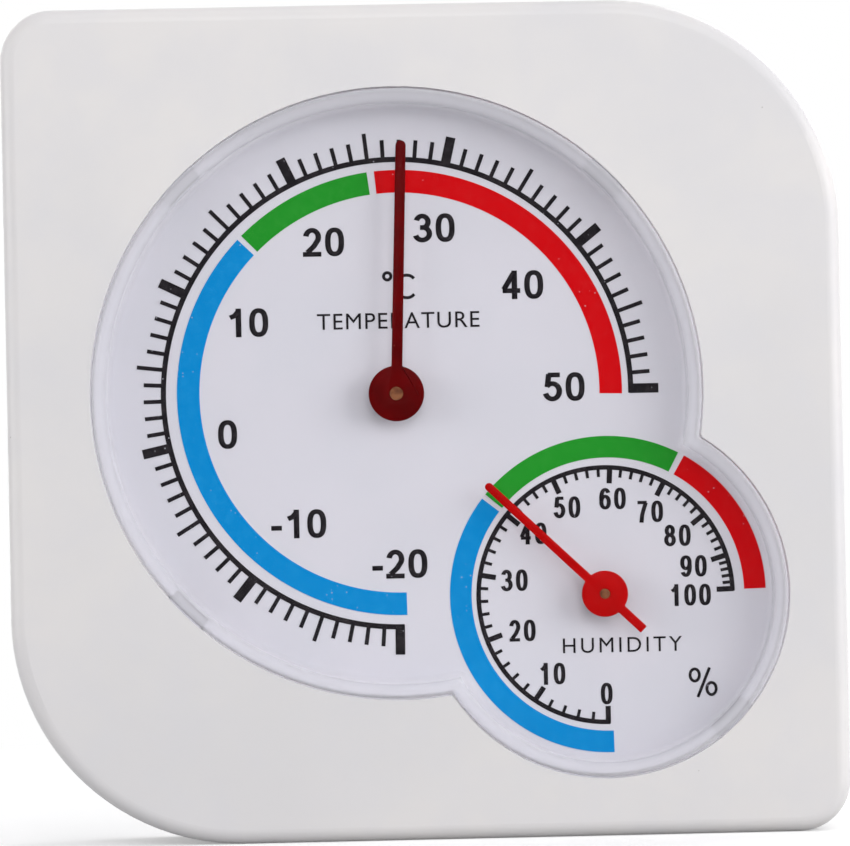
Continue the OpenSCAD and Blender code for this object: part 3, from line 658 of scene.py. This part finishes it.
def labels(name, places, height, box_w, width, stretch, advance):
    """The numbers of a dial, each with its middle at its place."""
    patterns = {}
    pieces = []
    for text, (x, y) in places.items():
        cells = []
        left = 0.0
        for letter in text:
            if letter not in patterns:
                patterns[letter] = figure(letter, box_w, width, stretch, height)
            cells.append((letter, left))
            left += advance * height * (MINUS_SHARE if letter == "-" else 1)
        row = []
        for letter, start in cells:
            twin = copied(patterns[letter], text)
            twin.location = (start, 0, 0)
            row.append(twin)
        label = joined(text, row)
        bpy.ops.object.transform_apply(location=True, rotation=True, scale=True)
        low = [min(v.co[i] for v in label.data.vertices) for i in range(2)]
        high = [max(v.co[i] for v in label.data.vertices) for i in range(2)]
        label.location = (x - (low[0] + high[0]) / 2, y - (low[1] + high[1]) / 2, PRINT_MIDDLE)
        bpy.ops.object.transform_apply(location=True, rotation=True, scale=True)
        pieces.append(label)
    for pattern in patterns.values():
        bpy.data.objects.remove(pattern)
    settle(joined(name, pieces), "case", black_ink)


def caption(name, text, middle, height, spacing):
    """A word in capitals."""
    bpy.ops.object.text_add(location=(0, 0, 0))
    word = bpy.context.object
    word.data.body = text
    word.data.size = height / CAPITAL_SHARE
    word.data.space_character = spacing
    word.data.extrude = (PRINT_TOP - PRINT_LOW) / 2
    word.data.resolution_u = 6
    word.data.align_x = "CENTER"
    bpy.ops.object.convert(target="MESH")
    word = started(name)
    word.location = (middle[0], middle[1] - height / 2, PRINT_MIDDLE)
    settle(word, "case", black_ink)


def signs(name, paths, closed, width):
    """Signs drawn with thin strokes, in place on the dial."""
    piece = strokes(name, paths, closed, width)
    piece.location = (0, 0, PRINT_MIDDLE)
    settle(piece, "case", black_ink)


# A capital's height as a share of the font's size, the figures' heights, and their middles
CAPITAL_SHARE = 0.695
T_FIGURE_H = 2.6
H_FIGURE_H = 1.95
T_NUMBERS = {"-20": (-2.5, -12.8), "-10": (-11.55, -9.0), "0": (-17.8, -0.8), "10": (-15.7, 9.25),
             "20": (-8.8, 16.4), "30": (1.2, 17.5), "40": (9.1, 12.2), "50": (12.65, 2.9)}
H_NUMBERS = {"0": (15.95, -24.9), "10": (11.1, -23.0), "20": (8.45, -19.05), "30": (7.8, -14.5),
             "40": (9.6, -10.3), "50": (12.7, -8.0), "60": (16.85, -7.3), "70": (20.25, -8.55),
             "80": (22.65, -10.75), "90": (24.05, -13.55), "100": (23.75, -16.15)}

labels("thermometer_figures", T_NUMBERS, T_FIGURE_H,
       box_w=0.405, width=0.165, stretch=1.16, advance=0.777)
labels("hygrometer_figures", H_NUMBERS, H_FIGURE_H,
       box_w=0.276, width=0.150, stretch=1.27, advance=0.69)
caption("thermometer_caption", "TEMPERATURE", middle=(-2.17, 9.2), height=1.45, spacing=1.1)
caption("hygrometer_caption", "HUMIDITY", middle=(17.4, -20.5), height=1.36, spacing=1.26)
signs("degree_sign", [oval(-3.1, 13.2, 0.33, 0.33),
                      oval(-1.35, 12.25, 0.86, 1.02, 42, 318, 2.2)], (0,), 0.27)
signs("percent_sign", [oval(23.95, -23.4, 0.42, 0.55), oval(25.45, -24.65, 0.42, 0.55),
                       [(24.2, -25.4), (25.3, -22.75)]], (0, 1), 0.26)


# The dial's sheet

T_SHEET_R = 27.25
H_SHEET_R = 16.25
BUSH_HOLE_T_R = 1.4
BUSH_HOLE_H_R = 1.25
WAIST_ROUND = 0.5
CUT_THROUGH = (DIAL_FLOOR_Z - 1, DIAL_FACE_Z + 1)


def disc(name, middle, radius, low, high, corners):
    """A round plate."""
    place = (middle[0], middle[1], (low + high) / 2)
    bpy.ops.mesh.primitive_cylinder_add(vertices=corners, radius=radius, depth=high - low,
                                        location=place)
    piece = started(name)
    bpy.ops.object.transform_apply(location=True, rotation=True, scale=True)
    return piece


def cleaned(piece, near, flat_deg):
    """Merges points that lie near each other and dissolves the edges inside flat faces."""
    only(piece)
    bpy.ops.object.mode_set(mode="EDIT")
    bpy.ops.mesh.select_all(action="SELECT")
    bpy.ops.mesh.remove_doubles(threshold=near)
    bpy.ops.mesh.dissolve_limited(angle_limit=math.radians(flat_deg))
    bpy.ops.object.mode_set(mode="OBJECT")


def combine(piece, tool, operation):
    """Adds a tool to a piece or cuts it out, and removes the tool."""
    apply(piece, "BOOLEAN", operation=operation, object=tool, solver="EXACT")
    bpy.data.objects.remove(tool)


# The clear window

WINDOW_TOP_Z = 15.3
WINDOW_T = 1.2
SKIRT_T = 1.1
RIM_ROUND = 0.5
RIM_RING = 2.2
SKIRT_LOW_Z = DIAL_FACE_Z + 0.02
HOOK_LOW_Z = 7.7
HOOK_TOP_Z = 8.7
RIM_SEGMENTS = 6

# The window's two flat faces have more corners than this, and all its other faces have fewer
FLAT_FACE_CORNERS = 50

# The clips: axis, radius of the case's well and angle. Their blocks: inner and outer edge from
# that radius, low and high
CLIP_W = 3.8
CLIPS = ((T_AXIS, 27.5, 45), (T_AXIS, 27.5, 135), (T_AXIS, 27.5, 225), (H_AXIS, 16.5, -45))
CLIP_LEG = (-0.98, -0.2, HOOK_TOP_Z - 0.1, SKIRT_LOW_Z + 0.1)
CLIP_HOOK = (-1.0, 0.4, HOOK_LOW_Z, HOOK_TOP_Z)
CLIP_PAD = (-0.16, -0.03, DIAL_FACE_Z + 1.1, 14.7)
CLIP_NOTCH = (-1.05, 0.5, *CUT_THROUGH)


def twin_disc(name, t_r, h_r, low, high):
    """Two joined discs on the two axes, with the upright edges where they meet rounded."""
    piece = disc(name, T_AXIS, t_r, low, high, corners=256)
    combine(piece, disc("small", H_AXIS, h_r, low, high, corners=160), "UNION")
    cleaned(piece, near=0.001, flat_deg=0.2)
    apart = math.dist(T_AXIS, H_AXIS)
    reach = (apart * apart + t_r * t_r - h_r * h_r) / (2 * apart)
    rise = math.sqrt(t_r * t_r - reach * reach)
    half = math.sqrt(0.5)
    spots = []
    for side in (-1, 1):
        across = T_AXIS[0] + half * (reach + side * rise)
        up = T_AXIS[1] + half * (side * rise - reach)
        spots.append((across, up))
    bevel_upright_edges(piece, spots, WAIST_ROUND, segments=5)
    return piece


def bevel_upright_edges(piece, spots, width, segments):
    """Rounds the upright edges nearest to the given spots."""
    only(piece)
    points = piece.data.vertices
    upright = [e for e in piece.data.edges
               if (points[e.vertices[0]].co - points[e.vertices[1]].co).to_2d().length < 0.001]
    chosen = set()
    for spot in map(Vector, spots):
        nearest = min(upright, key=lambda e: (points[e.vertices[0]].co.to_2d() - spot).length)
        chosen.add(nearest.index)
    pick_edges(piece, lambda edge: edge.index in chosen)
    bpy.ops.mesh.bevel(offset=width, offset_type="WIDTH", segments=segments)
    bpy.ops.object.mode_set(mode="OBJECT")


def pick_edges(piece, wanted):
    """Selects in edit mode the edges for which wanted(edge) holds."""
    only(piece)
    bpy.ops.object.mode_set(mode="EDIT")
    bpy.ops.mesh.select_mode(type="EDGE")
    bpy.ops.mesh.select_all(action="DESELECT")
    bpy.ops.object.mode_set(mode="OBJECT")
    for edge in piece.data.edges:
        edge.select = wanted(edge)
    bpy.ops.object.mode_set(mode="EDIT")


def round_rim(piece, height, width, segments):
    """Rounds the edges round the flat faces at one height that look up."""
    data = piece.data
    flat = {}
    for polygon in data.polygons:
        level = abs(polygon.center.z - height) < 0.001 and polygon.normal.z > 0.9
        for key in polygon.edge_keys:
            flat.setdefault(key, []).append(level)
    rim = {key for key, levels in flat.items() if any(levels) and not all(levels)}
    pick_edges(piece, lambda edge: tuple(sorted(edge.vertices)) in rim)
    bpy.ops.mesh.bevel(offset=width, segments=segments)
    bpy.ops.object.mode_set(mode="OBJECT")


def clip_part(clip, width, block):
    """A block that follows a dial's edge over a clip's width."""
    middle, well, angle = clip
    inner, outer, low, high = block
    half = math.degrees(math.asin(width / 2 / well))
    ends = (angle + half, angle - half)
    return arc_strip("clip", middle, well + inner, well + outer, *ends, low, high)


def window():
    """Window with a rounded rim, a skirt round it and four snap clips."""
    pane = twin_disc("window", WINDOW_T_R, WINDOW_H_R, SKIRT_LOW_Z, WINDOW_TOP_Z)
    round_rim(pane, WINDOW_TOP_Z, RIM_ROUND, RIM_SEGMENTS)
    pick_faces(pane, lambda middle, normal: normal.z > 0.99 and middle.z > WINDOW_TOP_Z - 0.001)
    bpy.ops.mesh.inset(thickness=RIM_RING - RIM_ROUND)
    pick_faces(pane, lambda middle, normal: normal.z < -0.99)
    bpy.ops.mesh.inset(thickness=SKIRT_T)
    depth = WINDOW_TOP_Z - WINDOW_T - SKIRT_LOW_Z
    bpy.ops.mesh.extrude_region_move(TRANSFORM_OT_translate={"value": (0, 0, depth)})
    bpy.ops.object.mode_set(mode="OBJECT")
    pieces = [pane]
    for clip in CLIPS:
        for block in (CLIP_LEG, CLIP_HOOK, CLIP_PAD):
            pieces.append(clip_part(clip, CLIP_W, block))
    pane = joined("window", pieces)
    settle(pane, "case", clear_plastic, SMOOTH_DEG)
    apply(pane, "WEIGHTED_NORMAL", keep_sharp=True)
    pane.data.materials.append(rim_plastic)
    pane.data.materials.append(skirt_plastic)
    for polygon in pane.data.polygons:
        if len(polygon.vertices) < FLAT_FACE_CORNERS:
            polygon.material_index = 1 if polygon.normal.y < -0.05 else 2
    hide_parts("lens")


window()


def dial_sheet():
    """The sheet that carries the print, with a hole for each bush."""
    sheet = twin_disc("dial_sheet", T_SHEET_R, H_SHEET_R, DIAL_FLOOR_Z, DIAL_FACE_Z)
    combine(sheet, disc("hole", T_AXIS, BUSH_HOLE_T_R, *CUT_THROUGH, corners=48), "DIFFERENCE")
    combine(sheet, disc("hole", H_AXIS, BUSH_HOLE_H_R, *CUT_THROUGH, corners=48), "DIFFERENCE")
    for clip in CLIPS:
        combine(sheet, clip_part(clip, CLIP_W + 0.1, CLIP_NOTCH), "DIFFERENCE")
    settle(sheet, "case", lacquer, smooth_deg=30)
    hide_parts("dial_plate")


dial_sheet()


# The pointers

POINTER_EDGE = 0.07


def take_off_edges(piece, width, segments, sharp_deg):
    """Rounds the edges that are sharper than an angle."""
    sharp = math.radians(sharp_deg)
    apply(piece, "BEVEL", width=width, segments=segments, limit_method="ANGLE",
          angle_limit=sharp, use_clamp_overlap=False)


def pointer(name, axis, angle_deg, length, hub_r, root_w, tip_w, tail_l, bore_r):
    """Stamped pointer: a tapered needle with a round tip on a round hub, its edges taken off."""
    top = POINTER_Z + POINTER_T
    blade = bar("blade", axis, 0, 0, length - tip_w / 2, root_w, POINTER_Z, top)
    pick_faces(blade, lambda middle, normal: normal.x > 0.9)
    bpy.ops.transform.resize(value=(1, tip_w / root_w, 1))
    bpy.ops.object.mode_set(mode="OBJECT")
    tip_middle = (axis[0] + length - tip_w / 2, axis[1])
    combine(blade, disc("tip", tip_middle, tip_w / 2, POINTER_Z, top, corners=32), "UNION")
    if tail_l:
        combine(blade, bar("tail", axis, 180, 0, tail_l, root_w, POINTER_Z, top), "UNION")
    combine(blade, disc("hub", axis, hub_r, POINTER_Z, top, corners=96), "UNION")
    combine(blade, disc("bore", axis, bore_r, POINTER_Z - 1, top + 1, corners=32), "DIFFERENCE")
    cleaned(blade, near=0.01, flat_deg=0.5)
    take_off_edges(blade, POINTER_EDGE, segments=3, sharp_deg=40)
    to_axis = Matrix.Translation((*axis, 0))
    turn = Matrix.Rotation(math.radians(angle_deg), 4, "Z")
    blade.matrix_world = to_axis @ turn @ to_axis.inverted()
    blade.name = name
    return blade


needle = pointer("thermometer_needle", T_AXIS, angle_deg=87.85, length=22.8, hub_r=2.5,
                 root_w=1.0, tip_w=0.92, tail_l=0, bore_r=0.61)
settle(needle, "thermometer_movement", dark_red, SMOOTH_DEG)
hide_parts("thermometer_pointer")
needle = pointer("hygrometer_needle", H_AXIS, angle_deg=136.2, length=14.55, hub_r=2.08,
                 root_w=0.8, tip_w=0.74, tail_l=4.75, bore_r=0.46)
settle(needle, "hygrometer_movement", bright_red, SMOOTH_DEG)
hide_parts("hygrometer_pointer")


# The stand's leg and the rear cover's screws, with their edges taken off

LEG_EDGE = 0.14
SCREW_EDGE = 0.08


def softened(node, name, body, finish, edge):
    """A solid of the frame with its sharp edges taken off."""
    piece = bpy.data.objects.new(name, frame["nodes"][node].data.copy())
    bpy.context.scene.collection.objects.link(piece)
    cleaned(piece, near=0.002 * MM, flat_deg=1)
    take_off_edges(piece, edge * MM, segments=2, sharp_deg=50)
    piece.data.materials.clear()
    piece.data.materials.append(finish)
    bpy.ops.object.shade_smooth_by_angle(angle=math.radians(SMOOTH_DEG))
    apply(piece, "WEIGHTED_NORMAL", keep_sharp=True)
    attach(piece, body)
    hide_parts(node)


softened("stand_leg", "folding_leg", "stand", white_plastic, LEG_EDGE)
softened("rear_cover_screws", "rear_panel_screws", "case", screw_steel, SCREW_EDGE)


# Floor, lamps, sky and camera

# The floor is pale nearer the gauge than the first distance, and white past the second
FLOOR_PALE_R = 0.09
FLOOR_WHITE_R = 0.22


def floor_paint():
    """Plain pale floor: white to the camera away from the gauge, and darker in its shadow."""
    f = Finish("pale_floor")
    tone = f.mix(f.noise(40, 2) * 0.3, (0.80, 0.80, 0.80, 1), (0.84, 0.84, 0.84, 1))
    matt = f.node("BsdfDiffuse", sockets={"Color": tone})
    glow = f.node("Emission", sockets={"Color": (1, 1, 1, 1), "Strength": 0.3})
    white = f.node("Emission", sockets={"Color": (1, 1, 1, 1), "Strength": 1.0})
    lifted = f.node("AddShader", sockets={0: matt, 1: glow})
    away = f.node("VectorMath", {"operation": "LENGTH"}, {0: f.where}, out="Value")
    far = f.step(away, FLOOR_PALE_R, FLOOR_WHITE_R)
    shown = f.node("MixShader", sockets={0: far, 1: lifted, 2: white})
    dim = f.node("BsdfDiffuse", sockets={"Color": (0.4, 0.4, 0.4, 1)})
    return f.done(f.node("MixShader", sockets={0: seen_rays(f), 1: dim, 2: shown}))


def seen_rays(f):
    """1 for the rays that show things: straight, mirrored or through clear plastic."""
    path = f.node("LightPath", out="Is Camera Ray")
    shown = path + path.other("Is Glossy Ray") + path.other("Is Transmission Ray")
    return f.node("Math", {"operation": "MINIMUM"}, {0: shown, 1: 1.0})


def sky():
    """White behind the gauge and to the camera, and a softer white that lights the gauge."""
    f = Finish("studio", world=True)
    path = f.node("LightPath", out="Is Glossy Ray")
    behind = f.step(f.node("SeparateXYZ", sockets={0: f.where}, out="Y"), -0.2, 0.3)
    veil = path * (1 - behind)
    light = f.node("Background", sockets={"Color": (0.97, 0.97, 1.0, 1), "Strength": 0.40})
    white = f.node("Background", sockets={"Color": (1, 1, 1, 1), "Strength": 1.0})
    shown = f.node("MixShader", sockets={0: seen_rays(f) - veil, 1: light, 2: white})
    bpy.context.scene.world = f.done(shown)


def lamp(name, place, size, power):
    """A soft square lamp that faces the middle of the gauge."""
    data = bpy.data.lights.new(name, "AREA")
    data.size = size
    data.energy = power
    light = bpy.data.objects.new(name, data)
    bpy.context.scene.collection.objects.link(light)
    light.location = place
    toward = Vector((0, 0, BODY_W / 2 * MM)) - Vector(place)
    light.rotation_euler = toward.to_track_quat("-Z", "Y").to_euler()


bpy.ops.mesh.primitive_plane_add(size=4, location=(0, 0, 0))
floor = started("floor")
floor.data.materials.append(floor_paint())
sky()
lamp("right_soft_lamp", (0.60, -0.44, 0.20), 0.50, 2.6)
lamp("left_soft_lamp", (-0.64, -0.34, 0.10), 0.40, 1.3)
lamp("front_soft_lamp", (0.05, -0.80, 0.35), 0.40, 1.75)
lamp("right_edge_lamp", (0.70, -0.10, 0.16), 0.30, 1.1)
lamp("left_edge_lamp", (-0.70, -0.10, 0.12), 0.30, 0.75)
lamp("top_edge_lamp", (0.05, -0.14, 0.72), 0.30, 0.4)
lamp("back_right_lamp", (0.46, 0.62, 0.50), 0.50, 3.0)
lamp("back_left_lamp", (-0.28, 0.74, 0.24), 0.50, 1.5)

# Where the photograph was taken from
VIEW_AZIMUTH_DEG = -1.868
VIEW_HEIGHT_DEG = -0.865
VIEW_ROLL_DEG = -1.2
VIEW_DISTANCE = 0.5
VIEW_LENS = 233.1
VIEW_TARGET = Vector((0.00013, 0, 0.03742))


def place_camera():
    """Looks at the gauge's front from where the photograph was taken."""
    azimuth = math.radians(VIEW_AZIMUTH_DEG)
    height = math.radians(VIEW_HEIGHT_DEG)
    roll = math.radians(VIEW_ROLL_DEG)
    flat = math.cos(height)
    ahead = Vector((-math.sin(azimuth) * flat, math.cos(azimuth) * flat, -math.sin(height)))
    level = ahead.cross(Vector((0, 0, 1))).normalized()
    upright = level.cross(ahead)
    right = level * math.cos(roll) + upright * math.sin(roll)
    up = upright * math.cos(roll) - level * math.sin(roll)
    data = bpy.data.cameras.new("camera")
    data.sensor_fit = "HORIZONTAL"
    data.sensor_width = 36
    data.lens = VIEW_LENS
    camera = bpy.data.objects.new("camera", data)
    bpy.context.scene.collection.objects.link(camera)
    turned = Matrix((right, up, -ahead)).transposed().to_4x4()
    camera.matrix_world = Matrix.Translation(VIEW_TARGET - ahead * VIEW_DISTANCE) @ turned
    bpy.context.scene.camera = camera


place_camera()
bpy.context.scene.view_settings.view_transform = "Standard"
